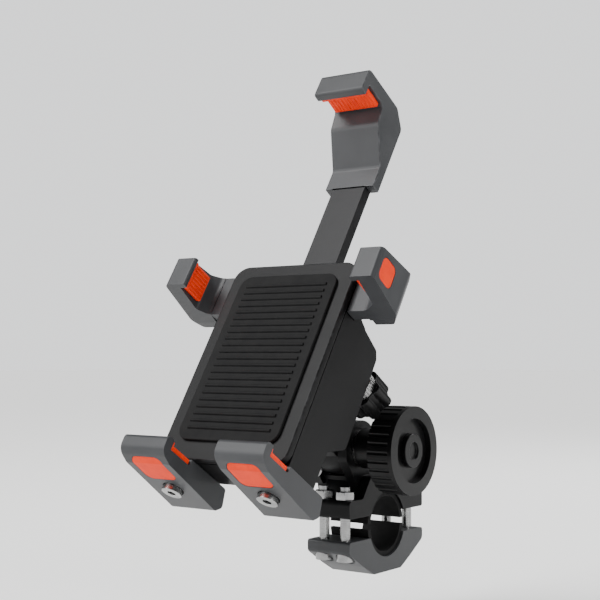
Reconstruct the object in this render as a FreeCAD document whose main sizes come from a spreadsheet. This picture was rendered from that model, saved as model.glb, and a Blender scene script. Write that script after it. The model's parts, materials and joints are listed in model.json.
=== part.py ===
"""Phone handlebar mount: a two-part bar clamp, a tilting and swivelling arm, and a cradle with five claws.

The row frame has X along the handlebar, Y away from the rider and Z up, with its origin on the bar's axis.
Cradle pieces are drawn square to X, "up the phone" and "out of the screen", and leaned back by cradle_turn.
"""

import FreeCAD
import Part
import math
import os

SIZES = {
    # Handlebar clamp
    "bar_radius": 11.1, "liner_wall": 2.0, "clamp_left": -5.0, "clamp_right": 15.0, "clamp_radius": 19.0,
    "split_half": 4.5, "flange_reach": 27.5, "flange_top": 11.5, "liner_inset": 1.0,
    "clamp_screw_y": 23.0, "clamp_screw_radius": 2.0, "clamp_head_radius": 3.5, "clamp_head_tall": 4.0,
    "clamp_head_seat": -8.5, "clamp_screw_end": 16.5, "clamp_nut_tall": 3.2, "screw_room": 0.25,
    # Tilt joint, its bolt and its knob
    "tilt_y": -12.0, "tilt_z": 31.0, "ear_inner": 6.3, "ear_outer": 10.5, "ear_radius": 11.0,
    "eye_half": 5.6, "eye_radius": 10.5, "bolt_radius": 3.0, "running_gap": 0.05, "snug_gap": 0.02,
    "knob_radius": 17.3, "knob_inner": 24.0, "knob_outer": 35.0, "hub_radius": 8.0, "hub_inner": 12.1,
    "insert_radius": 5.5, "flute_radius": 0.95, "face_depth": 2.4, "knob_rim": 4.8,
    # Lean of the cradle, and the swivel
    "cradle_turn": 57.0, "swivel_radius": 8.0, "swivel_flange_radius": 13.0, "stem_radius": 9.0,
    "flange_front": 59.7, "spigot_front": 66.3, "washer_front": 67.8, "swivel_screw_radius": 2.5,
    # Cradle body, in levels out of the screen
    "body_half": 29.0, "body_bottom": -22.5, "body_top": 64.0, "seat_level": 93.0, "plate_front": 91.0,
    "plate_back": 88.0, "web_front": 82.0, "bar_front": 79.3, "bar_back": 74.3, "boss_back": 60.0,
    "plate_screw_radius": 1.5, "plate_screw_seat": 70.8, "plate_head_radius": 2.75,
    # Claws and the phone that they hold
    "phone_half": 40.0, "phone_bottom": -23.3, "phone_top": 143.1, "phone_front": 102.0,
    "pad_wall": 2.0, "side_centre": 52.4, "lip_front": 107.0, "side_lip_front": 105.4, "side_lip_edge": 38.8,
    "claw_outer": 49.0, "bottom_claw_x": 22.0, "pad_front": 103.2, "claw_screw_level": 84.0,
    "claw_screw_radius": 1.5, "claw_head_radius": 3.9, "rivet_radius": 1.6,
    # Pinion and racks
    "module_size": 1.0, "pinion_teeth": 8, "axle_radius": 1.5, "tongue_back": 82.5, "tongue_front": 87.5,
    # Lock knobs
    "lock_x": 22.0, "lock_up": 30.0, "collar_front": 59.7, "collar_back": 55.8, "lock_knob_back": 45.4,
    "stud_radius": 2.0, "lock_insert_radius": 3.6, "lock_core_radius": 6.9, "lobe_radius": 2.5,
    "collar_radius": 6.4,
}

doc = FreeCAD.newDocument("phone_mount")
sheet = doc.addObject("Spreadsheet::Sheet", "dims")
for row, (alias, value) in enumerate(SIZES.items(), start=1):
    sheet.set(f"A{row}", alias)
    sheet.set(f"B{row}", str(value))
    sheet.setAlias(f"B{row}", alias)
doc.recompute()
D = {alias: float(sheet.get(alias)) for alias in SIZES}

UPRIGHT = FreeCAD.Placement()
CRADLE = FreeCAD.Placement(FreeCAD.Vector(), FreeCAD.Rotation(FreeCAD.Vector(1, 0, 0), D["cradle_turn"]))
SIN_TURN = math.sin(math.radians(D["cradle_turn"]))
COS_TURN = math.cos(math.radians(D["cradle_turn"]))
TILT_UP = D["tilt_y"] * COS_TURN + D["tilt_z"] * SIN_TURN
TILT_LEVEL = D["tilt_z"] * COS_TURN - D["tilt_y"] * SIN_TURN

nodes = []


def node(label, shape, placement=UPRIGHT):
    """Finish a sub-part: its label names its file, and its placement leans it with the cradle."""
    if shape.isDerivedFrom("Part::Primitive"):
        holder = doc.addObject("Part::Compound", f"{label}_held")
        holder.Links = [shape]
        shape = holder
    shape.Label = label
    shape.Placement = placement.multiply(shape.Placement)
    nodes.append(shape)


def block(name, across, along, up):
    """A box between two expressions on each axis."""
    box = doc.addObject("Part::Box", name)
    for side, axis, (low, high) in zip(("Length", "Width", "Height"), "xyz", (across, along, up)):
        box.setExpression(side, f"({high}) - ({low})")
        box.setExpression(f"Placement.Base.{axis}", f"{low}")
    return box


TURN_TO = {"x": FreeCAD.Rotation(FreeCAD.Vector(0, 1, 0), 90), "z": FreeCAD.Rotation(),
           "y": FreeCAD.Rotation(FreeCAD.Vector(1, 0, 0), -90)}


def rod(name, radius, axis, low, high, centre=(0, 0)):
    """A cylinder along one axis; centre is its place on the other two."""
    cylinder = doc.addObject("Part::Cylinder", name)
    cylinder.setExpression("Radius", f"{radius}")
    cylinder.setExpression("Height", f"({high}) - ({low})")
    cylinder.Placement.Rotation = TURN_TO[axis]
    cylinder.setExpression(f"Placement.Base.{axis}", f"{low}")
    for other, place in zip("xyz".replace(axis, ""), centre):
        cylinder.setExpression(f"Placement.Base.{other}", f"{place}")
    return cylinder


def hexagon(name, flat_half, axis, low, high, centre=(0, 0)):
    """A six-sided nut or bolt head across its flats."""
    prism_part = doc.addObject("Part::Prism", name)
    prism_part.Polygon = 6
    prism_part.Circumradius = flat_half / math.cos(math.pi / 6)
    prism_part.setExpression("Height", f"({high}) - ({low})")
    prism_part.Placement.Rotation = TURN_TO[axis]
    prism_part.setExpression(f"Placement.Base.{axis}", f"{low}")
    for other, place in zip("xyz".replace(axis, ""), centre):
        prism_part.setExpression(f"Placement.Base.{other}", f"{place}")
    return prism_part


def outline_edges(points):
    """Closed outline from (a, b) or (a, b, corner radius) points."""
    corners = []
    count = len(points)
    for index, point in enumerate(points):
        here = FreeCAD.Vector(point[0], point[1], 0)
        radius = point[2] if len(point) > 2 else 0
        back = (FreeCAD.Vector(*points[index - 1][:2], 0) - here).normalize()
        ahead = (FreeCAD.Vector(*points[(index + 1) % count][:2], 0) - here).normalize()
        if not radius:
            corners.append((here, here, here))
            continue
        half = back.getAngle(ahead) / 2
        reach = radius / math.tan(half)
        middle = here + (back + ahead).normalize() * (radius / math.sin(half) - radius)
        corners.append((here + back * reach, middle, here + ahead * reach))
    edges = []
    for index, (start, middle, end) in enumerate(corners):
        if (end - start).Length > 1e-6:
            edges.append(Part.Arc(start, middle, end))
        following = corners[(index + 1) % count][0]
        if (following - end).Length > 1e-6:
            edges.append(Part.LineSegment(end, following))
    return edges


def prism(name, points, plane, low, high):
    """A body padded from a sketched outline, between two expressions across its plane."""
    body = doc.addObject("PartDesign::Body", name)
    sketch = body.newObject("Sketcher::SketchObject", f"{name}_outline")
    support = next(item for item in body.Origin.OriginFeatures if item.Role == plane)
    sketch.AttachmentSupport = [(support, "")]
    sketch.MapMode = "FlatFace"
    offset = f"-({high})" if plane == "XZ_Plane" else f"{low}"
    sketch.setExpression("AttachmentOffset.Base.z", offset)
    sketch.addGeometry(outline_edges(points), False)
    pad = body.newObject("PartDesign::Pad", f"{name}_pad")
    pad.Profile = sketch
    pad.setExpression("Length", f"({high}) - ({low})")
    body.Tip = pad
    return body


def join(name, *shapes):
    union = doc.addObject("Part::MultiFuse", name)
    union.Shapes = list(shapes)
    return union


def cut(name, base, *tools):
    difference = doc.addObject("Part::Cut", name)
    difference.Base = base
    difference.Tool = tools[0] if len(tools) == 1 else join(f"{name}_tools", *tools)
    return difference


def common(name, *shapes):
    shared = doc.addObject("Part::MultiCommon", name)
    shared.Shapes = list(shapes)
    return shared


def shifted(placement, across):
    return placement.multiply(FreeCAD.Placement(FreeCAD.Vector(across, 0, 0), FreeCAD.Rotation()))


def rectangle(left, right, bottom, top, corner=0):
    return [(left, bottom, corner), (right, bottom, corner), (right, top, corner), (left, top, corner)]


# Bar clamp -----------------------------------------------------------------------------------------

CLAMP_SPAN = ("dims.clamp_left", "dims.clamp_right")
LINER_SPAN = ("dims.clamp_left + dims.liner_inset", "dims.clamp_right - dims.liner_inset")
LINER_RADIUS = "dims.bar_radius + dims.liner_wall"
SCREW_PLACES = [(x, side * D["clamp_screw_y"]) for x in (0, 10) for side in (-1, 1)]
TILT_CENTRE = ("dims.tilt_y", "dims.tilt_z")


def clamp_screw_holes(name, low, high, radius):
    return [rod(f"{name}_{i}", radius, "z", low, high, place) for i, place in enumerate(SCREW_PLACES)]


def make_clamp_upper():
    reach, split, top = D["flange_reach"], D["split_half"], D["flange_top"]
    saddle = prism("saddle", [(-reach, split, 1), (reach, split, 1), (reach, top, 2), (18, top, 1.5),
                              (12, 20, 3), (-12, 20, 3), (-18, top, 1.5), (-reach, top, 2)],
                   "YZ_Plane", *CLAMP_SPAN)
    y, z, round_end = D["tilt_y"], D["tilt_z"], D["ear_radius"]
    round_corner = round_end - 0.1
    ear_outline = [(-15, 16), (11, 16), (y + round_end, z - 4, 3),
                   (y + round_end, z + round_end, round_corner),
                   (y - round_end, z + round_end, round_corner), (y - round_end, z - 4, 4)]
    ears = [prism(f"ear_{side}", ear_outline, "YZ_Plane", low, high)
            for side, low, high in (("left", "-dims.ear_outer", "-dims.ear_inner"),
                                    ("right", "dims.ear_inner", "dims.ear_outer"))]
    bridge = prism("bridge", [(-12, 12, 2), (12, 12, 2), (11, 19.5), (-14, 19.5)], "YZ_Plane",
                   "-dims.ear_outer", "dims.ear_outer")
    bore = rod("upper_bore", LINER_RADIUS, "x", "dims.clamp_left - 9", "dims.clamp_right + 9")
    bolt_bore = rod("ear_bore", "dims.bolt_radius + dims.snug_gap", "x", -12, 12, TILT_CENTRE)
    swing_room = rod("eye_room", "dims.eye_radius + 0.6", "x", "-dims.ear_inner", "dims.ear_inner",
                     TILT_CENTRE)
    head_seat = hexagon("bolt_head_seat", 5.05, "x", "-dims.ear_outer", "-dims.ear_outer + 2", TILT_CENTRE)
    holes = clamp_screw_holes("flange_hole", 0, 14, "dims.clamp_screw_radius + dims.screw_room")
    solid = join("upper_solid", saddle, bridge, *ears)
    node("clamp_upper", cut("upper_half", solid, bore, bolt_bore, swing_room, head_seat, *holes))


def make_clamp_cap():
    reach, split = D["flange_reach"], D["split_half"]
    cap = prism("cap_solid", [(reach, -split, 1), (-reach, -split, 1), (-reach, -9, 2), (-17.5, -15, 2),
                              (-10, -19, 2), (10, -19, 2), (17.5, -15, 2), (reach, -9, 2)],
                "YZ_Plane", *CLAMP_SPAN)
    bore = rod("cap_bore", LINER_RADIUS, "x", "dims.clamp_left - 9", "dims.clamp_right + 9")
    holes = clamp_screw_holes("cap_hole", -20, 0, "dims.clamp_screw_radius")
    seats = clamp_screw_holes("cap_seat", -20, "dims.clamp_head_seat", "dims.clamp_head_radius + 0.2")
    node("clamp_cap", cut("lower_half", cap, bore, *holes, *seats))


def make_liner(label, low, high):
    ring = cut(f"{label}_ring", rod(f"{label}_outer", LINER_RADIUS, "x", *LINER_SPAN),
               rod(f"{label}_inner", "dims.bar_radius", "x", *LINER_SPAN))
    half = block(f"{label}_half", ("dims.clamp_left", "dims.clamp_right"), (-20, 20), (low, high))
    node(label, common(f"{label}_sleeve", ring, half))


def make_clamp_screws():
    screws = []
    for index, place in enumerate(SCREW_PLACES):
        head = rod(f"clamp_head_{index}", "dims.clamp_head_radius", "z",
                   "dims.clamp_head_seat - dims.clamp_head_tall", "dims.clamp_head_seat", place)
        shank = rod(f"clamp_shank_{index}", "dims.clamp_screw_radius", "z", "dims.clamp_head_seat - 0.1",
                    "dims.clamp_screw_end", place)
        socket = hexagon(f"clamp_socket_{index}", 1.5, "z", -13, -10.3, place)
        screws.append(cut(f"clamp_screw_{index}", join(f"clamp_blank_{index}", head, shank), socket))
    node("clamp_screws", join("clamp_screw_set", *screws))
    nuts = []
    for index, place in enumerate(SCREW_PLACES):
        blank = hexagon(f"clamp_nut_blank_{index}", 3.5, "z", "dims.flange_top",
                        "dims.flange_top + dims.clamp_nut_tall", place)
        bore = rod(f"clamp_nut_bore_{index}", "dims.clamp_screw_radius + dims.running_gap", "z", 10, 16,
                   place)
        nuts.append(cut(f"clamp_nut_{index}", blank, bore))
    node("clamp_nuts", join("clamp_nut_set", *nuts))


make_clamp_upper()
make_clamp_cap()
make_liner("liner_upper", 1.2, 20)
make_liner("liner_lower", -20, -1.2)
make_clamp_screws()

# Tilt joint ----------------------------------------------------------------------------------------


def make_tilt_bolt():
    head = hexagon("tilt_bolt_head", 5.0, "x", "-dims.ear_outer - 2.2", "-dims.ear_outer + 2", TILT_CENTRE)
    shank = rod("tilt_bolt_shank", "dims.bolt_radius", "x", "-dims.ear_outer + 1", "dims.knob_inner + 4",
                TILT_CENTRE)
    node("tilt_bolt", join("tilt_bolt_solid", head, shank))
    snug = "dims.bolt_radius + dims.snug_gap"
    discs = [cut(f"friction_disc_{side}", rod(f"disc_blank_{side}", 9, "x", low, high, TILT_CENTRE),
                 rod(f"disc_bore_{side}", snug, "x", low, high, TILT_CENTRE))
             for side, low, high in (("left", "-dims.ear_inner", "-dims.eye_half - dims.running_gap"),
                                     ("right", "dims.eye_half + dims.running_gap", "dims.ear_inner"))]
    node("friction_discs", join("friction_disc_pair", *discs))
    blank = rod("washer_blank", 7.5, "x", "dims.ear_outer", "dims.ear_outer + 1.4", TILT_CENTRE)
    node("knob_washer", cut("knob_washer_solid", blank, rod("washer_bore", snug, "x", 10, 13, TILT_CENTRE)))


def make_tilt_knob():
    flutes = 32
    rim = rod("rim_blank", "dims.knob_radius", "x", "dims.knob_inner", "dims.knob_outer", TILT_CENTRE)
    hub = rod("hub_blank", "dims.hub_radius", "x", "dims.hub_inner", "dims.knob_inner + 1", TILT_CENTRE)
    cuts = []
    for index in range(flutes):
        angle = 2 * math.pi * index / flutes
        place = (f"dims.tilt_y + (dims.knob_radius + 0.5) * {math.cos(angle):.6f}",
                 f"dims.tilt_z + (dims.knob_radius + 0.5) * {math.sin(angle):.6f}")
        cuts.append(rod(f"flute_{index}", "dims.flute_radius", "x", "dims.knob_inner - 1",
                        "dims.knob_outer - 1.8", place))
    face = rod("face_recess", "dims.knob_radius - dims.knob_rim", "x", "dims.knob_outer - dims.face_depth",
               "dims.knob_outer + 1", TILT_CENTRE)
    seat = rod("insert_seat", "dims.insert_radius", "x", 12, "dims.knob_inner + 5", TILT_CENTRE)
    node("tilt_knob", cut("tilt_knob_solid", join("knob_blank", rim, hub), *cuts, face, seat))
    insert = rod("insert_blank", "dims.insert_radius", "x", "dims.hub_inner", "dims.knob_inner + 5",
                 TILT_CENTRE)
    thread = rod("insert_bore", "dims.bolt_radius + dims.running_gap", "x", 12, "dims.knob_inner + 4.5",
                 TILT_CENTRE)
    node("knob_insert", cut("knob_insert_solid", insert, thread))
    cap = rod("cap_blank", 6.6, "x", "dims.knob_outer - dims.face_depth", "dims.knob_outer - 0.2",
              TILT_CENTRE)
    dimple = rod("cap_dimple", 3.4, "x", "dims.knob_outer - 1.2", "dims.knob_outer + 1", TILT_CENTRE)
    node("knob_cap", cut("cap_ring", cap, dimple))


def make_tilt_arm():
    eye = rod("eye_blank", "dims.eye_radius", "x", "-dims.eye_half", "dims.eye_half", (TILT_UP, TILT_LEVEL))
    neck = block("neck", ("-dims.eye_half", "dims.eye_half"), (TILT_UP - 8, TILT_UP + 8), (TILT_LEVEL, 47))
    stem = rod("stem", "dims.stem_radius", "z", 45.5, 56, (0, TILT_UP))
    flange = rod("swivel_flange", "dims.swivel_flange_radius", "z", 55.2, "dims.flange_front", (0, TILT_UP))
    spigot = rod("spigot", "dims.swivel_radius", "z", "dims.flange_front - 0.1", "dims.spigot_front",
                 (0, TILT_UP))
    bolt_bore = rod("eye_bore", "dims.bolt_radius + dims.running_gap", "x", -9, 9, (TILT_UP, TILT_LEVEL))
    screw_bore = rod("spigot_bore", "dims.swivel_screw_radius", "z", 54, 67, (0, TILT_UP))
    blank = join("tilt_arm_blank", eye, neck, stem, flange, spigot)
    node("tilt_arm", cut("tilt_arm_solid", blank, bolt_bore, screw_bore), CRADLE)
    washer = rod("swivel_washer_blank", 10.5, "z", "dims.spigot_front", "dims.washer_front", (0, TILT_UP))
    washer_bore = rod("swivel_washer_bore", "dims.swivel_screw_radius + dims.running_gap", "z", 66, 68,
                      (0, TILT_UP))
    node("swivel_washer", cut("swivel_washer_solid", washer, washer_bore), CRADLE)
    head = rod("swivel_head", 4.5, "z", "dims.washer_front", "dims.washer_front + 3.5", (0, TILT_UP))
    shank = rod("swivel_shank", "dims.swivel_screw_radius", "z", 54, 68, (0, TILT_UP))
    socket = hexagon("swivel_socket", 2, "z", "dims.washer_front + 1.5", 72, (0, TILT_UP))
    node("swivel_screw", cut("swivel_screw_solid", join("swivel_screw_blank", head, shank), socket), CRADLE)


make_tilt_bolt()
make_tilt_knob()
make_tilt_arm()

# Cradle body ---------------------------------------------------------------------------------------

HALF, BOTTOM, TOP = D["body_half"], D["body_bottom"], D["body_top"]
CENTRE = D["side_centre"]
LOCK_SIDES = (-D["lock_x"], D["lock_x"])
PLATE_SCREWS = [(x, up) for x in (-25, 25) for up in (-12.6, 13, 39.5)]


def clamp_plate_outline(room):
    """The plate that the right lock knob presses on the side arms, grown all round by the room it needs."""
    left, step, right = 15.3 - room, 21.2 + room, 27.2 + room
    low, shoulder, high = 24.3 - room, 35 + room, CENTRE + 9 + room
    return [(left, low), (right, low), (right, shoulder), (step, shoulder), (step, high), (left, high)]


def make_front_plate():
    node("front_plate", prism("front_plate_solid", rectangle(-HALF, HALF, BOTTOM, TOP, 6), "XY_Plane",
                              "dims.plate_back", "dims.plate_front"), CRADLE)
    node("seat_pad", prism("seat_pad_solid", rectangle(-23, 23, -15, 58, 5), "XY_Plane",
                           "dims.plate_front", "dims.seat_level"), CRADLE)


def make_rear_housing():
    rim = D["plate_back"]
    tray = prism("tray", [(BOTTOM, rim), (BOTTOM, 71, 2), (-10, 71, 1), (0, 70), (40, 70), (45, 74, 1),
                          (46.5, 78, 1), (TOP, 78, 3), (TOP, rim)], "YZ_Plane", "-dims.body_half",
                 "dims.body_half")
    back = D["boss_back"]
    boss = prism("boss", [(46, 76), (43, back + 2, 2), (40, back, 2), (1, back, 2), (-7, 72), (-7, 76)],
                 "YZ_Plane", "-dims.body_half + 0.8", "dims.body_half - 0.8")
    cover = prism("bar_cover", [(42, 72), (TOP, 72, 2), (TOP, 80), (42, 80)], "YZ_Plane", -12, 12)
    arm_room = block("arm_room", (-HALF - 1, HALF + 1), (CENTRE - 9.3, CENTRE + 9.3), ("dims.web_front", 89))
    hollow = block("hollow", (-26.5, 26.5), (-8, 10), (84, 89))
    hollow_top = block("hollow_top", (-20, 20), (9, 41), (84, 89))
    bar_room = block("bar_room", (-8.3, 8.3), (-20, TOP + 1), ("dims.bar_back", "dims.bar_front"))
    spigot_room = rod("spigot_room", "dims.swivel_radius + dims.running_gap", "z", 59, 67, (0, TILT_UP))
    washer_room = rod("washer_room", 11.2, "z", 66, 89, (0, TILT_UP))
    pinion_seat = rod("pinion_seat", "dims.axle_radius", "z", 79.8, 89, (0, CENTRE))
    side_plate_room = prism("side_plate_room", clamp_plate_outline(0.25), "XY_Plane", 79.8, 83)
    top_plate_room = block("top_plate_room", (-27.5, 8.3), (24.5, 35.5), (71.9, 75))
    insert_rooms = [rod(f"insert_room_{i}", "dims.lock_insert_radius", "z", 59, 68, (x, "dims.lock_up"))
                    for i, x in enumerate(LOCK_SIDES)]
    stud_rooms = [rod("stud_room_left", 2.4, "z", 59, 73, (-D["lock_x"], "dims.lock_up")),
                  rod("stud_room_right", 2.4, "z", 59, 81, (D["lock_x"], "dims.lock_up"))]
    screw_holes = [rod(f"plate_hole_{i}", "dims.plate_screw_radius", "z", 60, 89, place)
                   for i, place in enumerate(PLATE_SCREWS)]
    screw_seats = [rod(f"plate_seat_{i}", "dims.plate_head_radius + 0.15", "z", 58, "dims.plate_screw_seat",
                       place) for i, place in enumerate(PLATE_SCREWS)]
    claw_slots = []
    for index, side in enumerate((-1, 1)):
        x = side * D["bottom_claw_x"]
        claw_slots.append(block(f"claw_slot_{index}", (x - 4.7, x + 4.7), (BOTTOM - 1, -16), (82.2, 85.8)))
        claw_slots.append(block(f"claw_nut_room_{index}", (x - 6.2, x + 6.2), (-19.6, -15.8), (80.6, 87.4)))
    node("rear_housing", cut("rear_housing_solid", join("housing_blank", tray, boss, cover), arm_room, hollow,
                             hollow_top, bar_room, spigot_room, washer_room, pinion_seat, side_plate_room,
                             top_plate_room, *insert_rooms, *stud_rooms, *screw_holes, *screw_seats,
                             *claw_slots), CRADLE)


def make_cradle_hardware():
    screws = []
    for index, place in enumerate(PLATE_SCREWS):
        head = rod(f"plate_head_{index}", "dims.plate_head_radius", "z", "dims.plate_screw_seat - 2.5",
                   "dims.plate_screw_seat", place)
        shank = rod(f"plate_shank_{index}", "dims.plate_screw_radius", "z", "dims.plate_screw_seat - 0.1",
                    "dims.plate_back", place)
        socket = hexagon(f"plate_socket_{index}", 1.25, "z", 68, "dims.plate_screw_seat - 1", place)
        screws.append(cut(f"plate_screw_{index}", join(f"plate_screw_blank_{index}", head, shank), socket))
    node("plate_screws", join("plate_screw_set", *screws), CRADLE)
    node("pinion_axle", rod("pinion_axle_solid", "dims.axle_radius", "z", 79.8, "dims.plate_back",
                            (0, "dims.side_centre")), CRADLE)
    inserts = []
    for index, x in enumerate(LOCK_SIDES):
        blank = rod(f"lock_insert_blank_{index}", "dims.lock_insert_radius", "z", "dims.boss_back + 0.2", 68,
                    (x, "dims.lock_up"))
        bore = rod(f"lock_insert_bore_{index}", "dims.stud_radius + dims.running_gap", "z", 60, 69,
                   (x, "dims.lock_up"))
        inserts.append(cut(f"lock_insert_{index}", blank, bore))
    node("lock_inserts", join("lock_insert_pair", *inserts), CRADLE)
    node("side_clamp_plate", prism("side_clamp_plate_solid", clamp_plate_outline(0), "XY_Plane", 80.3, 82.3),
         CRADLE)
    node("top_clamp_plate", block("top_clamp_plate_solid", (-27.2, 8), (24.8, 35.2), (72.1, 74.1)), CRADLE)


make_front_plate()
make_rear_housing()
make_cradle_hardware()

# Side arms, their pinion and pads ------------------------------------------------------------------

PITCH_RADIUS = D["module_size"] * D["pinion_teeth"] / 2
TOOTH_PITCH = math.pi * D["module_size"]
TOOTH_TIP, TOOTH_FOOT = 0.8, 1.2
TIP_HALF, FOOT_HALF = 0.35, 0.75


def make_pinion():
    points = []
    teeth = int(D["pinion_teeth"])
    for tooth in range(teeth):
        angle = 2 * math.pi * tooth / teeth
        along = (math.cos(angle), math.sin(angle))
        for reach, half in ((PITCH_RADIUS - TOOTH_FOOT, -FOOT_HALF), (PITCH_RADIUS + TOOTH_TIP, -TIP_HALF),
                            (PITCH_RADIUS + TOOTH_TIP, TIP_HALF), (PITCH_RADIUS - TOOTH_FOOT, FOOT_HALF)):
            points.append((along[0] * reach - along[1] * half, CENTRE + along[1] * reach + along[0] * half))
    gear = prism("pinion_blank", points, "XY_Plane", 82.3, 87.7)
    bore = rod("pinion_bore", "dims.axle_radius + dims.running_gap", "z", 82, 88, (0, "dims.side_centre"))
    node("pinion", cut("pinion_solid", gear, bore), CRADLE)


def rack_outline(left, right):
    """The tongue of one side arm, with teeth that point at the pinion."""
    tip, root = CENTRE + PITCH_RADIUS - TOOTH_TIP, CENTRE + PITCH_RADIUS + TOOTH_FOOT
    points = [(right, CENTRE + 8.9), (left, CENTRE + 8.9), (left, root)]
    for tooth in range(-4, 4):
        middle = (tooth + 0.5) * TOOTH_PITCH
        points += [(middle - FOOT_HALF, root), (middle - TIP_HALF, tip), (middle + TIP_HALF, tip),
                   (middle + FOOT_HALF, root)]
    return points + [(right, root)]


def make_side_arm(side, placement):
    inner, outer = D["phone_half"] + D["pad_wall"], D["claw_outer"]
    lip, lip_edge, over = D["side_lip_front"], D["side_lip_edge"], D["pad_front"]
    hook = prism(f"hook_{side}", [(27, 79.6), (45.5, 79.6, 2), (outer, 85, 3), (outer, lip, 1.6),
                                  (lip_edge, lip, 0.9), (lip_edge, over, 0.5), (inner, over), (inner, 91, 2),
                                  (38, 88, 3), (27, 87.5)], "XZ_Plane", CENTRE - 12, CENTRE + 12)
    taper = prism(f"taper_{side}", [(CENTRE - 9.5, 78), (CENTRE + 9.5, 78), (CENTRE + 9.5, 83, 2),
                                    (CENTRE + 6.3, lip + 1), (CENTRE - 6.3, lip + 1), (CENTRE - 9.5, 83, 2)],
                  "YZ_Plane", 26, 60)
    claw = common(f"claw_{side}", hook, taper)
    guard = block(f"body_guard_{side}", (20, 37.5), (30, 75), (78, 82.3))
    guard_side = block(f"housing_guard_{side}", (20, 36.5), (30, 75), (87.7, 95))
    wide = block(f"wide_{side}", (20, 36.5), (CENTRE - 20, CENTRE - 8.9), (75, 90))
    wide_top = block(f"wide_top_{side}", (20, 36.5), (CENTRE + 8.9, CENTRE + 20), (75, 90))
    tongue = prism(f"tongue_{side}", rack_outline(-14, 31), "XY_Plane", "dims.tongue_back",
                   "dims.tongue_front")
    inner_trim = block(f"inner_trim_{side}", (20, 29), (30, CENTRE + 4.5), (75, 90))
    window = prism(f"window_{side}", rectangle(CENTRE - 4.7, CENTRE + 4.7, 93.5, 102.6, 2.5), "YZ_Plane",
                   inner - 1, outer + 1)
    trimmed = cut(f"claw_trim_{side}", claw, guard, guard_side, wide, wide_top, inner_trim)
    blank = join(f"arm_blank_{side}", trimmed, tongue)
    node(f"side_arm_{side}", cut(f"side_arm_solid_{side}", blank, window), placement)
    along = (CENTRE - 5.8, CENTRE + 5.8)
    liner = block(f"liner_{side}", ("dims.phone_half", inner), along, (92.5, over))
    lip_liner = block(f"lip_liner_{side}", (lip_edge + 0.3, inner), along, ("dims.phone_front", over))
    nub = prism(f"nub_{side}", rectangle(CENTRE - 4.6, CENTRE + 4.6, 93.6, 102.5, 2.4), "YZ_Plane",
                inner - 0.2, outer - 0.1)
    node(f"side_pad_{side}", join(f"side_pad_solid_{side}", liner, lip_liner, nub), placement)


TURNED = CRADLE.multiply(FreeCAD.Placement(FreeCAD.Vector(0, 2 * CENTRE, 0),
                                           FreeCAD.Rotation(FreeCAD.Vector(0, 0, 1), 180)))
make_pinion()
make_side_arm("right", CRADLE)
make_side_arm("left", TURNED)

# Top arm -------------------------------------------------------------------------------------------

RIVET_UPS = (115.5, 123.5)


def make_top_arm():
    top, lip = D["phone_top"], D["lip_front"]
    wall, over = top + D["pad_wall"], D["pad_front"]
    hook = prism("top_hook", [(112, 79.1), (122, 79.1, 3), (136, 90, 5), (wall, 91.5, 2), (wall, over),
                              (top - 3.2, over, 0.5), (top - 3.2, lip, 1.2), (wall + 6, lip, 2),
                              (wall + 7, 82, 3), (wall + 1, 74.4, 3), (112, 74.4)], "YZ_Plane", -12, 12)
    bar_slot = block("bar_slot", (-8.05, 8.05), (110, 128), (74, 79.05))
    window = block("top_window", (-3.5, 3.5), (wall - 1, wall + 9), (93.5, 102.2))
    node("top_claw", cut("top_claw_solid", hook, bar_slot, window), CRADLE)
    bar = block("top_bar_blank", (-8, 8), (2, 128), (74.5, 79))
    rivet_holes = [rod(f"rivet_hole_{i}", "dims.rivet_radius", "z", 74, 80, (0, up))
                   for i, up in enumerate(RIVET_UPS)]
    node("top_bar", cut("top_bar_solid", bar, *rivet_holes), CRADLE)
    rivets = []
    for index, up in enumerate(RIVET_UPS):
        shank = rod(f"rivet_shank_{index}", "dims.rivet_radius", "z", 74.4, 79.05, (0, up))
        head = rod(f"rivet_head_{index}", 3, "z", 73.2, 74.5, (0, up))
        rivets.append(join(f"rivet_{index}", shank, head))
    node("top_rivets", join("rivet_pair", *rivets), CRADLE)
    liner = block("top_liner", (-10.5, 10.5), (top, wall), (92.5, over))
    lip_liner = block("top_lip_liner", (-10.5, 10.5), (top - 2.8, wall), ("dims.phone_front", over))
    nub = block("top_nub", (-3.4, 3.4), (wall - 0.2, wall + 5.9), (93.6, 102.1))
    node("top_pad", join("top_pad_solid", liner, lip_liner, nub), CRADLE)


make_top_arm()

# Bottom claws --------------------------------------------------------------------------------------

UNDER = -34
SCREW_SEAT = -30.4


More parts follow.
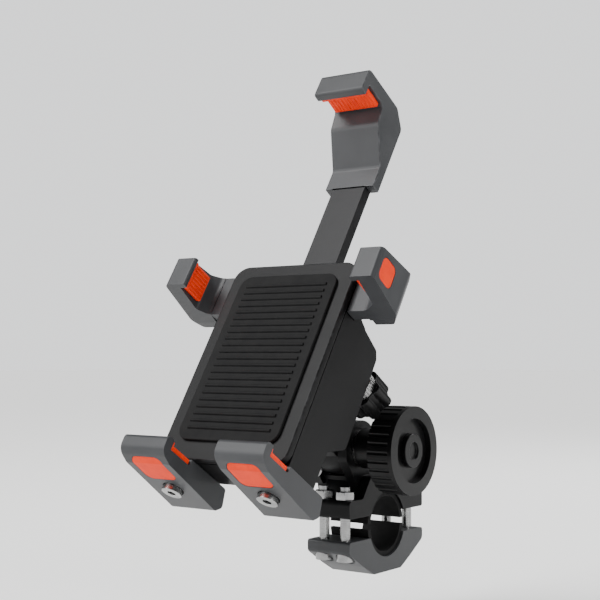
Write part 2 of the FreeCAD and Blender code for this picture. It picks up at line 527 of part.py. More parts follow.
def make_bottom_claw(side, placement):
    x, rest, lip, over = D["bottom_claw_x"], D["phone_bottom"], D["lip_front"], D["pad_front"]
    floor = rest - D["pad_wall"]
    low, high = x - 10.5, x + 10.5
    hook = prism(f"bottom_hook_{side}", [(rest + 1.9, lip, 1.8), (rest + 1.9, over, 0.4), (floor, over),
                                         (floor, 91.6, 0.6), (BOTTOM - 0.3, 91.4), (BOTTOM - 0.3, 69, 1),
                                         (-29.5, 67, 1.5), (-32.3, 70, 2), (-30.2, 101, 2), (-28, lip, 4.2)],
                 "YZ_Plane", low, high)
    window = prism(f"bottom_window_{side}", rectangle(x - 6.8, x + 6.8, 92.1, 102.7, 2), "XZ_Plane", UNDER,
                   floor + 1)
    recess = prism(f"bottom_recess_{side}", rectangle(x - 7.2, x + 7.2, 90.4, 103.9, 3), "XZ_Plane", UNDER,
                   -27.6)
    screw_place = (x, "dims.claw_screw_level")
    shank_hole = rod(f"claw_hole_{side}", "dims.claw_screw_radius + dims.running_gap", "y", UNDER, BOTTOM,
                     screw_place)
    head_seat = rod(f"claw_seat_{side}", "dims.claw_head_radius + 0.3", "y", UNDER, SCREW_SEAT, screw_place)
    node(f"bottom_claw_{side}", cut(f"bottom_claw_solid_{side}", hook, window, recess, shank_hole, head_seat),
         placement)
    across = (low + 0.6, high - 0.6)
    liner = block(f"bottom_liner_{side}", across, (floor, rest), (92, over))
    lip_liner = block(f"bottom_lip_liner_{side}", across, (floor, rest + 1.3), ("dims.phone_front", over))
    neck = prism(f"bottom_neck_{side}", rectangle(x - 6.7, x + 6.7, 92.2, 102.6, 1.9), "XZ_Plane", -27.8,
                 floor + 0.2)
    inlay = prism(f"bottom_inlay_{side}", rectangle(x - 7.1, x + 7.1, 90.5, 103.8, 2.9), "XZ_Plane", UNDER,
                  -27.7)
    flush = common(f"bottom_flush_{side}", inlay, hook)
    node(f"bottom_pad_{side}", join(f"bottom_pad_solid_{side}", liner, lip_liner, neck, flush), placement)
    head = rod(f"claw_head_{side}", "dims.claw_head_radius", "y", SCREW_SEAT - 2.8, SCREW_SEAT, screw_place)
    shank = rod(f"claw_shank_{side}", "dims.claw_screw_radius", "y", SCREW_SEAT - 0.1, -16.4, screw_place)
    socket = hexagon(f"claw_socket_{side}", 1.5, "y", UNDER, SCREW_SEAT - 1.2, screw_place)
    node(f"claw_screw_{side}", cut(f"claw_screw_solid_{side}", join(f"claw_screw_blank_{side}", head, shank),
                                   socket), placement)
    nut = hexagon(f"claw_nut_blank_{side}", 2.75, "y", -19.2, -16.8, screw_place)
    nut_bore = rod(f"claw_nut_bore_{side}", "dims.claw_screw_radius", "y", -20, -16, screw_place)
    node(f"claw_nut_{side}", cut(f"claw_nut_solid_{side}", nut, nut_bore), placement)


make_bottom_claw("right", CRADLE)
make_bottom_claw("left", shifted(CRADLE, -2 * D["bottom_claw_x"]))

# Lock knobs ----------------------------------------------------------------------------------------


def make_lock_knob(side, stud_end, placement):
    centre = ("dims.lock_x", "dims.lock_up")
    lobes = 6
    core = rod(f"lock_core_{side}", "dims.lock_core_radius", "z", "dims.lock_knob_back", "dims.collar_back",
               centre)
    parts = [core]
    for index in range(lobes):
        angle = 2 * math.pi * index / lobes
        place = (f"dims.lock_x + 6 * {math.cos(angle):.6f}", f"dims.lock_up + 6 * {math.sin(angle):.6f}")
        parts.append(rod(f"lobe_{side}_{index}", "dims.lobe_radius", "z", "dims.lock_knob_back",
                         "dims.collar_back", place))
    stud_start = "dims.lock_knob_back + 3"
    stud_hole = rod(f"lock_hole_{side}", "dims.stud_radius", "z", stud_start, 57, centre)
    node(f"lock_knob_{side}", cut(f"lock_knob_solid_{side}", join(f"lock_blank_{side}", *parts), stud_hole),
         placement)
    collar = rod(f"collar_blank_{side}", "dims.collar_radius", "z", "dims.collar_back", "dims.collar_front",
                 centre)
    collar_bore = rod(f"collar_bore_{side}", "dims.stud_radius", "z", 55, 60, centre)
    node(f"lock_collar_{side}", cut(f"lock_collar_solid_{side}", collar, collar_bore), placement)
    stud = rod(f"lock_stud_solid_{side}", "dims.stud_radius", "z", stud_start, stud_end, centre)
    node(f"lock_stud_{side}", stud, placement)


make_lock_knob("right", 80.1, CRADLE)
make_lock_knob("left", 71.9, shifted(CRADLE, -2 * D["lock_x"]))

# Check and write -----------------------------------------------------------------------------------

doc.recompute()
failed = [item.Name for item in doc.Objects if "Invalid" in item.State or "Error" in item.State]
broken = [item.Label for item in nodes if item.Shape.isNull() or not item.Shape.isValid()]
if failed or broken:
    raise SystemExit(f"not built: features {failed}, sub-parts {broken}")
os.makedirs("parts", exist_ok=True)
for item in nodes:
    item.Shape.exportStep(f"parts/{item.Label}.step")
    print(item.Label, len(item.Shape.Solids), round(item.Shape.Volume, 1))
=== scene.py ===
# %% [markdown]
# # A phone mount for a handlebar, from its imported frame
# The mount is a split clamp, an arm that tilts and swivels, and a cradle whose claws close on a phone.
# Its engineered shapes come from the imported frame, and nothing here moves or resizes them. What this
# script adds is what a moulder and a toolmaker add: rounded edges, grained plastic, ribbed rubber,
# turned steel. We keep the size of the box straight after loading, print it, and set floor and lights by it.

# %% Load the frame
import bpy
import bmesh
import json
import math
from mathutils import Matrix, Vector


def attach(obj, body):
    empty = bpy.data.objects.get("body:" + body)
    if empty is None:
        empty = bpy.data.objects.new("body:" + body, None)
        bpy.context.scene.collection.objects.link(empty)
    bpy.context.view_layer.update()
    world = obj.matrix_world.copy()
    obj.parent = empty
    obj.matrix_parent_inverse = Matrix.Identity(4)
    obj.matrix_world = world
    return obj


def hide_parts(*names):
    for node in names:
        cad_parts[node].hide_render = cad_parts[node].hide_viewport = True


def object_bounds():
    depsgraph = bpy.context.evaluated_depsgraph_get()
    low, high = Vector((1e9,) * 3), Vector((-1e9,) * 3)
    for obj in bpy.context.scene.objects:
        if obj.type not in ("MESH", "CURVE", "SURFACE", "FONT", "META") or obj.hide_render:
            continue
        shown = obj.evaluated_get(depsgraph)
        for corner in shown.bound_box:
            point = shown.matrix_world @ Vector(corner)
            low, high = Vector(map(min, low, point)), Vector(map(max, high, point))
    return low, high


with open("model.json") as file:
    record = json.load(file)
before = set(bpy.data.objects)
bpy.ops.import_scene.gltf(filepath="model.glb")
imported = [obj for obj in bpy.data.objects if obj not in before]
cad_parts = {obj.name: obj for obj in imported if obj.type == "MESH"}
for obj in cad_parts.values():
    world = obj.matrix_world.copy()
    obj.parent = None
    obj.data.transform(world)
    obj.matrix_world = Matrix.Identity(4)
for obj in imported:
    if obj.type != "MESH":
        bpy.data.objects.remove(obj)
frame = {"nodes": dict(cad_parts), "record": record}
cad_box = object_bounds()
MM = 0.001
print("cad box", cad_box)

# %% [markdown]
# The cradle leans with the phone, so "across", "up the phone" and "out of the screen" are the handy
# directions on it. The swivel joint's axis is the one that points out of the screen, so the record
# already holds the lean, and we build a small matrix from it instead of typing an angle.

# %% Directions on the leaned cradle
joints = {joint["name"]: joint for joint in frame["record"]["behaviour"]["joints"]}
ACROSS = Vector((1, 0, 0))
OUT = Vector(joints["swivel"]["axis"]).normalized()
UP = OUT.cross(ACROSS).normalized()
LEAN = Matrix((ACROSS, UP, OUT)).transposed().to_4x4()


def on_cradle(across, up, out):
    """A place on the cradle, in millimetres from the bar's axis, as a point in the frame."""
    return LEAN @ (Vector((across, up, out)) * MM)


print("the cradle leans back by", round(math.degrees(math.asin(UP.y)), 1), "degrees")

# %% [markdown]
# ## Finishes
# A colour is written as a designer would, as an sRGB hex value, and one function turns it to the
# linear numbers that a shader works in. One more function adds a node with its settings and links.

# %% Colour and node helpers


def linear(code):
    """sRGB hex to a linear colour with alpha."""
    parts = [int(code[i:i + 2], 16) / 255 for i in (1, 3, 5)]
    return tuple(p / 12.92 if p <= 0.04045 else ((p + 0.055) / 1.055) ** 2.4 for p in parts) + (1.0,)


def add(tree, kind, inputs=(), **settings):
    """Adds a node; inputs maps socket names to values or to other nodes' outputs."""
    made = tree.nodes.new(kind)
    for name, value in settings.items():
        setattr(made, name, value)
    for name, value in dict(inputs).items():
        if isinstance(value, bpy.types.NodeSocket):
            tree.links.new(value, made.inputs[name])
        else:
            made.inputs[name].default_value = value
    return made


def start_material(name):
    material = bpy.data.materials.new(name)
    material.use_nodes = True
    tree = material.node_tree
    tree.nodes.clear()
    output = add(tree, "ShaderNodeOutputMaterial")
    place = add(tree, "ShaderNodeTexCoord").outputs["Object"]
    return material, tree, output, place


def ramp(tree, value, stops):
    made = add(tree, "ShaderNodeValToRGB", {"Fac": value})
    while len(made.color_ramp.elements) < len(stops):
        made.color_ramp.elements.new(0.5)
    for element, (position, colour) in zip(made.color_ramp.elements, stops):
        element.position = position
        element.color = colour
    return made.outputs["Color"]


def grey(value):
    return (value, value, value, 1.0)


def mix_colour(tree, factor, first, second):
    made = add(tree, "ShaderNodeMix", data_type="RGBA")
    sockets = [socket for socket in made.inputs if socket.enabled]
    tree.links.new(factor, sockets[0])
    tree.links.new(first, sockets[1])
    sockets[2].default_value = second
    return next(socket for socket in made.outputs if socket.enabled)


def noise(tree, place, size_mm, detail, roughness=0.5):
    """Soft random patches, about as wide as size_mm."""
    made = add(tree, "ShaderNodeTexNoise", {"Vector": place, "Scale": 1 / (size_mm * MM), "Detail": detail,
                                            "Roughness": roughness})
    return made.outputs["Fac"]


def between(tree, value, low, high):
    """Stretches a value from 0 to 1 over the numbers from low to high."""
    return add(tree, "ShaderNodeMapRange", {"Value": value, "To Min": low, "To Max": high}).outputs["Result"]


def relief(tree, height, strength, depth_mm):
    """A surface normal with bumps this deep."""
    made = add(tree, "ShaderNodeBump", {"Height": height, "Strength": strength, "Distance": depth_mm * MM})
    return made.outputs["Normal"]


def end_material(material, tree, output, inputs):
    shader = add(tree, "ShaderNodeBsdfPrincipled", inputs)
    tree.links.new(shader.outputs["BSDF"], output.inputs["Surface"])
    return material


# %% [markdown]
# ### Moulded plastic
# The clamp, housing, arm and claws are glass-filled nylon, injection moulded in a spark-eroded tool.
# The tool leaves a fine even grain, about 0.4 mm across here because the real 0.1 mm would not show.
# Light catches it as a broad soft sheen, a little uneven where the resin flowed. The rounded edges are
# painted paler: partly handling wear, partly a painted highlight that stands in for light on the edge.
# They carry an attribute, made further down, and the shader breaks it up with noise, so the paler
# paint comes and goes along an edge. The grain's tiny pits trap light, so the sheen is weaker than a
# smooth plastic's: "gloss" is the specular level, which is 0.5 on a smooth one.

# %% Nylon
GRAIN_DEPTH_MM = 0.06
# The paler colour painted on rounded edges: partly handling wear, partly a painted edge highlight.
WORN_AND_HIGHLIT_EDGE = "#77787b"


def moulded_nylon(name, base, worn, roughness, gloss, grain_mm=0.4, edge_wear_and_highlight=0.3):
    material, tree, output, place = start_material(name)
    grain = noise(tree, place, grain_mm, 3.0, 0.6)
    flow = noise(tree, place, 14, 4.0)
    # Rounded edges are painted paler in noisy patches: partly handling wear, partly a painted highlight.
    patchy = ramp(tree, noise(tree, place, 2.5, 3.0), [(0.40, grey(0)), (0.75, grey(edge_wear_and_highlight))])
    worn_and_highlit_edge = add(tree, "ShaderNodeAttribute", attribute_name="worn_and_highlit_edge").outputs["Fac"]
    edge = add(tree, "ShaderNodeMath", {0: patchy, 1: worn_and_highlit_edge}, operation="MULTIPLY").outputs["Value"]
    tone = ramp(tree, flow, [(0.3, linear(base)), (0.75, linear(worn))])
    light = mix_colour(tree, edge, tone, linear(WORN_AND_HIGHLIT_EDGE))
    rough = between(tree, flow, roughness - 0.07, roughness + 0.09)
    bump = relief(tree, grain, 0.22, GRAIN_DEPTH_MM)
    return end_material(material, tree, output, {"Base Color": light, "Roughness": rough, "Normal": bump,
                                                 "IOR": 1.53, "Specular IOR Level": gloss})


black_nylon = moulded_nylon("glass_filled_nylon_black", "#0b0b0c", "#121213", 0.42, 0.13, edge_wear_and_highlight=0.1)
grey_nylon = moulded_nylon("glass_filled_nylon_grey", "#323335", "#3b3c3e", 0.42, 0.27)
knob_nylon = moulded_nylon("knob_nylon_satin", "#090909", "#0f0f10", 0.3, 0.16, grain_mm=0.3, edge_wear_and_highlight=0.08)

# %% [markdown]
# ### Rubber
# The jaw pads are bright orange silicone, and the bar liner and the seat are black EPDM. Both are
# matt. Light enters silicone a little way and comes out again, so its shaded side glows deep red.

# %% Silicone and EPDM


def moulded_rubber(name, base, shade, roughness, scatter_mm):
    material, tree, output, place = start_material(name)
    tone = ramp(tree, noise(tree, place, 5, 6.0, 0.65), [(0.3, linear(shade)), (0.62, linear(base))])
    bump = relief(tree, noise(tree, place, 0.5, 2.0), 0.18, 0.08)
    return end_material(material, tree, output, {
        "Base Color": tone, "Roughness": roughness, "Normal": bump, "IOR": 1.42, "Specular IOR Level": 0.2,
        "Subsurface Weight": 0.25 if scatter_mm else 0.0, "Subsurface Scale": scatter_mm * MM})


orange_silicone = moulded_rubber("silicone_orange", "#e63400", "#d92c00", 0.56, 0.6)
black_rubber = moulded_rubber("epdm_black", "#161616", "#0f0f10", 0.72, 0)

# %% [markdown]
# ### Metals
# Screws, washers and collars are turned stainless steel, bright with fine marks from the tool. The
# threaded inserts are brass. A metal keeps the default IOR, because its colour is its reflection.

# %% Steel and brass


def turned_metal(name, base, stain, roughness):
    material, tree, output, place = start_material(name)
    haze = noise(tree, place, 6, 3.0)
    tone = ramp(tree, haze, [(0.35, linear(stain)), (0.65, linear(base))])
    rough = between(tree, haze, roughness - 0.06, roughness + 0.10)
    bump = relief(tree, noise(tree, place, 0.3, 2.0), 0.04, 0.02)
    return end_material(material, tree, output, {"Base Color": tone, "Roughness": rough, "Normal": bump,
                                                 "Metallic": 1.0})


stainless = turned_metal("stainless_steel_turned", "#a3a3a2", "#7f7f80", 0.24)
brass = turned_metal("brass_turned", "#cfae68", "#b8934c", 0.3)

# %% [markdown]
# The top claw's bar is flat steel with a black powder coat. Powder melts into a skin with a faint
# orange-peel ripple, about 1 mm from crest to crest, so its highlight wobbles a little.

# %% Powder coat


def powder_coat(name, base, dusty, roughness):
    material, tree, output, place = start_material(name)
    haze = noise(tree, place, 9, 4.0)
    rough = between(tree, haze, roughness - 0.06, roughness + 0.12)
    bump = relief(tree, noise(tree, place, 1.0, 1.0), 0.25, 0.05)
    tone = ramp(tree, haze, [(0.3, linear(base)), (0.7, linear(dusty))])
    return end_material(material, tree, output, {"Base Color": tone, "Roughness": rough, "Normal": bump,
                                                 "IOR": 1.5, "Specular IOR Level": 0.2})


black_steel = powder_coat("powder_coat_black", "#111112", "#1b1b1d", 0.36)

# %% [markdown]
# ## Rounded edges
# A sharp edge gives itself away at once, because no moulding or turning has one. Each engineered
# shape is copied, its flat faces are joined back together, and a Bevel modifier rounds every edge
# sharper than 28 degrees. The radius is about what the real part has: 0.5 mm or so on plastic, less on
# turned steel, and 0.35 mm on the stamped clamp plates. Where small faces crowd together the modifier
# uses less. The copy then stands for the original, and rides on the same body.

# %% Copy a shape and round its edges
BODY_OF = {node: body for body, listed in frame["record"]["behaviour"]["bodies"].items() for node in listed}
SLOT_OF = {row["node"]: row["material_slot"] for row in frame["record"]["subparts"]}
SHARP = math.radians(28)
SAME_PLACE_MM = 0.004
FLAT = math.radians(0.6)


def settle(piece):
    """Applies every modifier, so that the piece is a plain mesh at the origin."""
    graph = bpy.context.evaluated_depsgraph_get()
    mesh = bpy.data.meshes.new_from_object(piece.evaluated_get(graph))
    piece.modifiers.clear()
    piece.data = mesh


def clean_copy(node, name):
    """The node's shape with its doubles merged and its flat faces joined."""
    source = frame["nodes"][node]
    mesh = source.data.copy()
    mesh.name = name
    shape = bmesh.new()
    shape.from_mesh(mesh)
    bmesh.ops.transform(shape, matrix=source.matrix_world, verts=shape.verts)
    bmesh.ops.remove_doubles(shape, verts=shape.verts, dist=SAME_PLACE_MM * MM)
    bmesh.ops.dissolve_limit(shape, angle_limit=FLAT, verts=shape.verts, edges=shape.edges)
    shape.to_mesh(mesh)
    shape.free()
    piece = bpy.data.objects.new(name, mesh)
    bpy.context.scene.collection.objects.link(piece)
    return piece


def finish_piece(piece, material, body, node=None):
    """Gives a piece its finish, its body and, where it stands for a node, that node's place."""
    piece.data.materials.clear()
    piece.data.materials.append(material)
    for face in piece.data.polygons:
        face.material_index = 0
    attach(piece, body)
    if node:
        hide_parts(node)


def round_edges(piece, radius_mm, segments):
    """Bevels the sharp edges, marks the new faces for paler edge paint (wear and highlight), keeps flats
    flat.
    """
    piece.data.shade_smooth()
    piece.data.materials.clear()
    for _ in range(2):
        piece.data.materials.append(None)
    for face in piece.data.polygons:
        face.material_index = 0
    bevel = piece.modifiers.new("edge", "BEVEL")
    bevel.width = radius_mm * MM
    bevel.segments = segments
    bevel.limit_method = "ANGLE"
    bevel.angle_limit = SHARP
    bevel.material = 1
    bevel.miter_outer = "MITER_ARC"
    normals = piece.modifiers.new("normals", "WEIGHTED_NORMAL")
    normals.weight = 100
    settle(piece)
    # The bevel faces are marked to be painted paler: partly handling wear, partly a painted highlight.
    mark = piece.data.attributes.new("worn_and_highlit_edge", "FLOAT", "FACE")
    mark.data.foreach_set("value", [float(face.material_index) for face in piece.data.polygons])


def rounded(node, material, radius_mm, segments=3):
    piece = clean_copy(node, f"{node}_finished")
    round_edges(piece, radius_mm, segments)
    finish_piece(piece, material, BODY_OF[node], node)
    print(node, len(piece.data.polygons), "faces")


# %% Round the plastic pieces
for node, radius in {"clamp_upper": 0.6, "tilt_arm": 0.5, "rear_housing": 0.5, "front_plate": 0.6,
                     "pinion": 0.1}.items():
    rounded(node, black_nylon, radius)
for node, radius in {"clamp_cap": 0.6, "side_arm_right": 0.5, "side_arm_left": 0.5, "top_claw": 0.6,
                     "bottom_claw_right": 0.5, "bottom_claw_left": 0.5}.items():
    rounded(node, grey_nylon, radius)
for node, radius in {"tilt_knob": 0.25, "knob_cap": 0.3, "lock_knob_right": 0.5,
                     "lock_knob_left": 0.5}.items():
    rounded(node, knob_nylon, radius)

# %% Round the rubber pieces
for node in ("side_pad_right", "side_pad_left", "top_pad", "bottom_pad_right", "bottom_pad_left"):
    rounded(node, orange_silicone, 0.4)
for node, radius in {"liner_upper": 0.15, "liner_lower": 0.15, "friction_discs": 0.1}.items():
    rounded(node, black_rubber, radius)

# %% Round the metal pieces
TURNED, STAMPED = 0.18, 0.35
for node in [node for node, slot_name in SLOT_OF.items() if slot_name == "stainless"]:
    rounded(node, stainless, STAMPED if node.endswith("clamp_plate") else TURNED, segments=2)
for node in ("knob_insert", "lock_inserts"):
    rounded(node, brass, 0.15, segments=2)
rounded("top_bar", black_steel, 0.4)

# %% [markdown]
# ## Ribs and knurls, with Geometry Nodes
# Rubber grips by its ribs and a metal collar by its knurl. Both are one small shape repeated, which is
# what Geometry Nodes are for. One tree lays ribs in a row, and one sets them round a ring. Each has
# named inputs for its sizes, and realizes its instances, so that what leaves the tree is a plain mesh.
# We then move the mesh's points, not its object, to where it belongs.

# %% Two trees for what repeats


def new_tree(name, numbers):
    tree = bpy.data.node_groups.new(name, "GeometryNodeTree")
    tree.interface.new_socket("Geometry", in_out="OUTPUT", socket_type="NodeSocketGeometry")
    for number, kind in numbers.items():
        tree.interface.new_socket(number, in_out="INPUT", socket_type=kind)
    tree.interface.new_socket("Finish", in_out="INPUT", socket_type="NodeSocketMaterial")
    given = add(tree, "NodeGroupInput").outputs
    return tree, given


def end_tree(tree, given, instances):
    solid = add(tree, "GeometryNodeRealizeInstances", {"Geometry": instances}).outputs["Geometry"]
    smooth = add(tree, "GeometryNodeSetShadeSmooth", {"Geometry": solid}).outputs["Geometry"]
    dressed = add(tree, "GeometryNodeSetMaterial", {"Geometry": smooth, "Material": given["Finish"]})
    add(tree, "NodeGroupOutput", {"Geometry": dressed.outputs["Geometry"]})
    return tree


def rib_shape(tree, given):
    """A round rib along X: a circle swept along a line, with its two ends filled."""
    half = add(tree, "ShaderNodeMath", {0: given["Length"], 1: 0.5}, operation="MULTIPLY").outputs["Value"]
    back = add(tree, "ShaderNodeMath", {0: half, 1: -1.0}, operation="MULTIPLY").outputs["Value"]
    start = add(tree, "ShaderNodeCombineXYZ", {"X": back}).outputs["Vector"]
    end = add(tree, "ShaderNodeCombineXYZ", {"X": half}).outputs["Vector"]
    line = add(tree, "GeometryNodeCurvePrimitiveLine", {"Start": start, "End": end}).outputs["Curve"]
    ring = add(tree, "GeometryNodeCurvePrimitiveCircle", {"Radius": given["Rib Radius"], "Resolution": 10})
    swept = add(tree, "GeometryNodeCurveToMesh", {"Curve": line, "Profile Curve": ring.outputs["Curve"],
                                                  "Fill Caps": True})
    return swept.outputs["Mesh"]


SIZES = {"Count": "NodeSocketInt", "Pitch": "NodeSocketFloat", "Length": "NodeSocketFloat",
         "Rib Radius": "NodeSocketFloat"}


def row_tree():
    tree, given = new_tree("rib_row", SIZES)
    step = add(tree, "ShaderNodeCombineXYZ", {"Y": given["Pitch"]}).outputs["Vector"]
    line = add(tree, "GeometryNodeMeshLine", {"Count": given["Count"], "Offset": step}).outputs["Mesh"]
    ribs = add(tree, "GeometryNodeInstanceOnPoints", {"Points": line, "Instance": rib_shape(tree, given)})
    return end_tree(tree, given, ribs.outputs["Instances"])


def ring_tree():
    """Pitch is the ring's radius here, and the ribs stand along the ring's own axis, Z."""
    tree, given = new_tree("rib_ring", SIZES)
    ring = add(tree, "GeometryNodeMeshCircle", {"Vertices": given["Count"], "Radius": given["Pitch"]})
    ribs = add(tree, "GeometryNodeInstanceOnPoints", {"Points": ring.outputs["Mesh"],
                                                      "Instance": rib_shape(tree, given)})
    ribs.inputs["Rotation"].default_value = (0, math.pi / 2, 0)
    return end_tree(tree, given, ribs.outputs["Instances"])


ROW, RING = row_tree(), ring_tree()


def repeated(name, tree, place, material, body, slot_name, **sizes):
    """Runs a tree with its sizes in millimetres, then puts the mesh at a place in the frame."""
    piece = bpy.data.objects.new(name, bpy.data.meshes.new(name))
    bpy.context.scene.collection.objects.link(piece)
    modifier = piece.modifiers.new("ribs", "NODES")
    modifier.node_group = tree
    values = {"Count": sizes["count"], "Pitch": sizes["pitch"] * MM, "Length": sizes["length"] * MM,
              "Rib Radius": sizes["radius"] * MM, "Finish": material}
    for item in tree.interface.items_tree:
        if item.in_out == "INPUT":
            modifier[item.identifier] = values[item.name]
    settle(piece)
    piece.data.transform(place)
    finish_piece(piece, material, body)
    print(name, sizes["count"], "ribs,", len(piece.data.polygons), "faces")


# %% [markdown]
# ### The seat
# The phone's back rests on a black EPDM seat 46 mm wide. It is a thin slab with rounded corners and
# fine cross ribs, which bend under the phone and stop it from buzzing. The slab is built point by
# point, and the ribs come from the row tree.

# %% Seat slab and its ribs
CORNER_STEPS = 8


def slab(name, left, right, bottom, top, under, over, corner=5, radius_mm=0.35):
    """A rounded rectangle between two levels of the cradle, in millimetres."""
    shape = bmesh.new()
    outline = []
    for x, y, turn in ((right, top, 0), (left, top, 1), (left, bottom, 2), (right, bottom, 3)):
        centre_x = x - math.copysign(corner, x - (left + right) / 2)
        centre_y = y - math.copysign(corner, y - (bottom + top) / 2)
        for step in range(CORNER_STEPS + 1):
            angle = math.pi / 2 * (turn + step / CORNER_STEPS)
            outline.append(shape.verts.new(on_cradle(centre_x + corner * math.cos(angle),
                                                     centre_y + corner * math.sin(angle), under)))
    base = shape.faces.new(outline)
    grown = bmesh.ops.extrude_face_region(shape, geom=[base])
    raised = [item for item in grown["geom"] if isinstance(item, bmesh.types.BMVert)]
    bmesh.ops.translate(shape, vec=OUT * ((over - under) * MM), verts=raised)
    bmesh.ops.recalc_face_normals(shape, faces=shape.faces)
    mesh = bpy.data.meshes.new(name)
    shape.to_mesh(mesh)
    shape.free()
    piece = bpy.data.objects.new(name, mesh)
    bpy.context.scene.collection.objects.link(piece)
    round_edges(piece, radius_mm, 3)
    return piece


SEAT = {"left": -23, "right": 23, "bottom": -15, "top": 58, "under": 91, "over": 92.3}
seat = slab("seat_slab", **SEAT)
finish_piece(seat, black_rubber, "cradle", "seat_pad")
SEAT_PITCH = 3.0
SEAT_MARGIN = 4
rib_count = int((SEAT["top"] - SEAT["bottom"] - 2 * SEAT_MARGIN) / SEAT_PITCH) + 1
first = (SEAT["top"] + SEAT["bottom"] - SEAT_PITCH * (rib_count - 1)) / 2
place = Matrix.Translation(on_cradle(0, first, SEAT["over"])) @ LEAN
repeated("seat_ribs", ROW, place, black_rubber, "cradle", "black_rubber", count=rib_count, pitch=SEAT_PITCH,
         length=38, radius=0.65)

# %% [markdown]
# ### Ribs in the jaws, and the collars' knurl
# Each silicone jaw pad has fine ridges that run out of the screen, so a phone can't creep along them.
# The lock collars are knurled, straight-cut, so that fingers can start them.

# %% Jaw ribs and knurls
PHONE_HALF, PHONE_BOTTOM, PHONE_TOP = 40.0, -23.3, 143.1
JAW_CENTRE, JAW_LEVEL = 52.4, 97.4
JAW_PITCH, JAW_RADIUS, SUNK = 1.6, 0.4, 0.15
LOCK_UP, COLLAR_LEVEL = 30, 57.75
PAIR_X = 22
ALONG_OUT = Matrix.Rotation(math.pi / 2, 4, "Y")
ROW_ACROSS = Matrix.Rotation(-math.pi / 2, 4, "Z")


def jaw_ribs(name, count, across, up, body, turn=Matrix()):
    """Ribs that run out of the screen, in a row that starts at a place and goes up or across."""
    place = Matrix.Translation(on_cradle(across, up, JAW_LEVEL)) @ LEAN @ turn @ ALONG_OUT
    repeated(name, ROW, place, orange_silicone, body, "orange_silicone", count=count, pitch=JAW_PITCH,
             length=8, radius=JAW_RADIUS)


WIDE, NARROW = 12, 7
WIDE_HALF, NARROW_HALF = ((count - 1) * JAW_PITCH / 2 for count in (WIDE, NARROW))
for side, sign in (("right", 1), ("left", -1)):
    jaw_ribs(f"jaw_ribs_{side}", NARROW, sign * (PHONE_HALF + SUNK), JAW_CENTRE - NARROW_HALF,
             f"side_arm_{side}")
    jaw_ribs(f"floor_ribs_{side}", WIDE, sign * PAIR_X - WIDE_HALF, PHONE_BOTTOM - SUNK,
             f"bottom_claw_{side}", ROW_ACROSS)
    place = Matrix.Translation(on_cradle(sign * PAIR_X, LOCK_UP, COLLAR_LEVEL)) @ LEAN
    repeated(f"collar_knurl_{side}", RING, place, stainless, f"lock_{side}", "stainless", count=36, pitch=6.3,
             length=3.0, radius=0.32)
jaw_ribs("top_jaw_ribs", WIDE, -WIDE_HALF, PHONE_TOP + SUNK, "top_arm", ROW_ACROSS)

# %% [markdown]
# ### Serrations and threads
# The top bar's back carries fine teeth across it, which the clamp plate bites on when its knob is
# tightened. The clamp screws are M4, with a crest every 0.7 mm. A thread is really a helix, but at
# this size a stack of rings looks the same and has far fewer faces, so one tree stacks crests.

# %% Serrations on the top bar
FIRST_TOOTH, BAR_BACK = 24, 74.5
place = Matrix.Translation(on_cradle(0, FIRST_TOOTH, BAR_BACK)) @ LEAN
repeated("bar_serrations", ROW, place, black_steel, "top_arm", "black_steel", count=67, pitch=1.25,
         length=12.5, radius=0.18)

# %% Threads on the clamp screws


def crest_tree():
    """A stack of thread crests along Z. Length is the crest's radius, Rib Radius half its width."""
    tree, given = new_tree("thread_crests", SIZES)
    step = add(tree, "ShaderNodeCombineXYZ", {"Z": given["Pitch"]}).outputs["Vector"]
    line = add(tree, "GeometryNodeMeshLine", {"Count": given["Count"], "Offset": step}).outputs["Mesh"]
    path = add(tree, "GeometryNodeCurvePrimitiveCircle", {"Radius": given["Length"], "Resolution": 28})
    section = add(tree, "GeometryNodeCurvePrimitiveCircle", {"Radius": given["Rib Radius"], "Resolution": 6})
    ring = add(tree, "GeometryNodeCurveToMesh", {"Curve": path.outputs["Curve"],
                                                 "Profile Curve": section.outputs["Curve"]}).outputs["Mesh"]
    crests = add(tree, "GeometryNodeInstanceOnPoints", {"Points": line, "Instance": ring})
    return end_tree(tree, given, crests.outputs["Instances"])


CREST = crest_tree()
CREST_PATH, CREST_RADIUS = 1.84, 0.2
THREAD_START = -8.0
CLAMP_SCREWS = [(x, y) for x in (0, 10) for y in (-23, 23)]
for index, (x, y) in enumerate(CLAMP_SCREWS):
    stack = Matrix.Translation(Vector((x, y, THREAD_START)) * MM)
    repeated(f"clamp_thread_{index}", CREST, stack, stainless, "cap", "stainless", count=34, pitch=0.7,
             length=CREST_PATH, radius=CREST_RADIUS)

# %% [markdown]
# ## Floor, light and camera
# A pale floor carries no detail of its own. It lies low enough for the clamp's cap to come off above
# it. The key light comes over the rider's left shoulder and a weaker one from ahead and to the right,
# both wide enough for soft shadows, and three soft boxes put highlights on the plastic. The sky is drawn
# brighter behind the mount than it shines, so that the floor fades into it. The camera looks from the
# rider's right, almost level, as someone would who leans over to read the phone.

# %% Floor
low, high = cad_box
FLOOR_RADIUS = 7.0
FLOOR_DROP = joints["cap_off"]["range_m"][1] + 1 * MM
floor_mesh = bpy.data.meshes.new("floor")
floor_shape = bmesh.new()
bmesh.ops.create_circle(floor_shape, cap_ends=True, segments=96, radius=FLOOR_RADIUS,
                        matrix=Matrix.Translation((0, 0, low[2] - FLOOR_DROP)))
floor_shape.to_mesh(floor_mesh)
floor_shape.free()
floor = bpy.data.objects.new("floor", floor_mesh)
bpy.context.scene.collection.objects.link(floor)
floor_material, floor_tree, floor_output, _ = start_material("studio_floor")
floor_mesh.materials.append(end_material(floor_material, floor_tree, floor_output, {
    "Base Color": linear("#fafaf9"), "Roughness": 1.0, "Specular IOR Level": 0.0}))

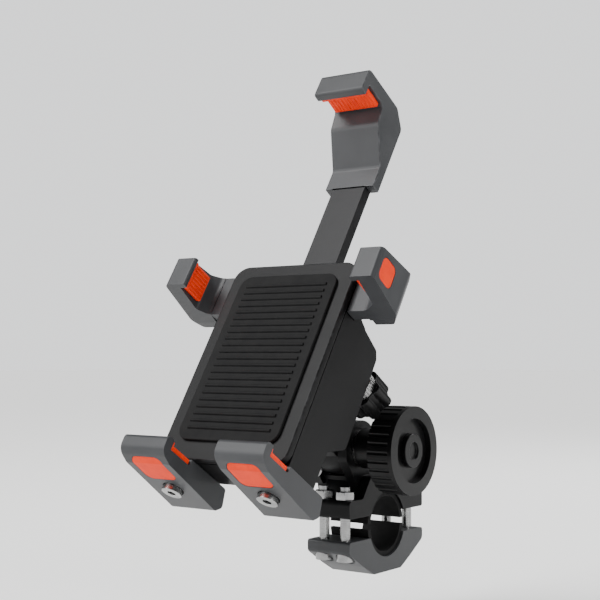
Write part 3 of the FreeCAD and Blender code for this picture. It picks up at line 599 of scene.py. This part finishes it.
# %% Light
SKY_SHINES, SKY_SEEN = 0.26, 1.45
world = bpy.data.worlds.new("studio")
world.use_nodes = True
sky = world.node_tree
seen = add(sky, "ShaderNodeLightPath").outputs["Is Camera Ray"]
level = between(sky, seen, SKY_SHINES, SKY_SEEN)
sky.nodes["Background"].inputs["Color"].default_value = linear("#fbfcfd")
sky.links.new(level, sky.nodes["Background"].inputs["Strength"])
bpy.context.scene.world = world


def soft_box(name, place, target, size, watts):
    light = bpy.data.lights.new(name, "AREA")
    light.shape = "DISK"
    light.size = size
    light.energy = watts
    lamp = bpy.data.objects.new(name, light)
    lamp.location = place
    lamp.rotation_euler = (Vector(target) - Vector(place)).to_track_quat("-Z", "Y").to_euler()
    bpy.context.scene.collection.objects.link(lamp)


def far_light(name, towards, strength, spread):
    """Light from one direction, spread over some degrees so that its shadows are soft."""
    light = bpy.data.lights.new(name, "SUN")
    light.energy = strength
    light.angle = math.radians(spread)
    lamp = bpy.data.objects.new(name, light)
    lamp.rotation_euler = Vector(towards).to_track_quat("-Z", "Y").to_euler()
    bpy.context.scene.collection.objects.link(lamp)


middle = (Vector(low) + Vector(high)) / 2
far_light("key", (0.45, 0.65, -1.0), 3.6, 35)
far_light("back", (-0.5, -0.8, -0.9), 1.3, 35)
soft_box("front_box", middle + Vector((-0.5, -0.8, 0.35)), middle, 0.5, 5)
soft_box("side_box", middle + Vector((0.9, -0.1, 0.25)), middle, 0.35, 3)
soft_box("rim_box", middle + Vector((0.1, 0.8, 0.6)), middle, 0.4, 4)

# %% Camera
CAMERA_PLACE = Vector((0.2755, -0.4151, 0.0693))
camera_data = bpy.data.cameras.new("camera")
camera_data.lens = 72
camera_data.sensor_width = 36
camera_data.clip_start = 0.01
AIM = on_cradle(2, 52, 84)
camera = bpy.data.objects.new("camera", camera_data)
camera.location = CAMERA_PLACE
camera.rotation_euler = (AIM - CAMERA_PLACE).to_track_quat("-Z", "Y").to_euler()
bpy.context.scene.collection.objects.link(camera)
bpy.context.scene.camera = camera
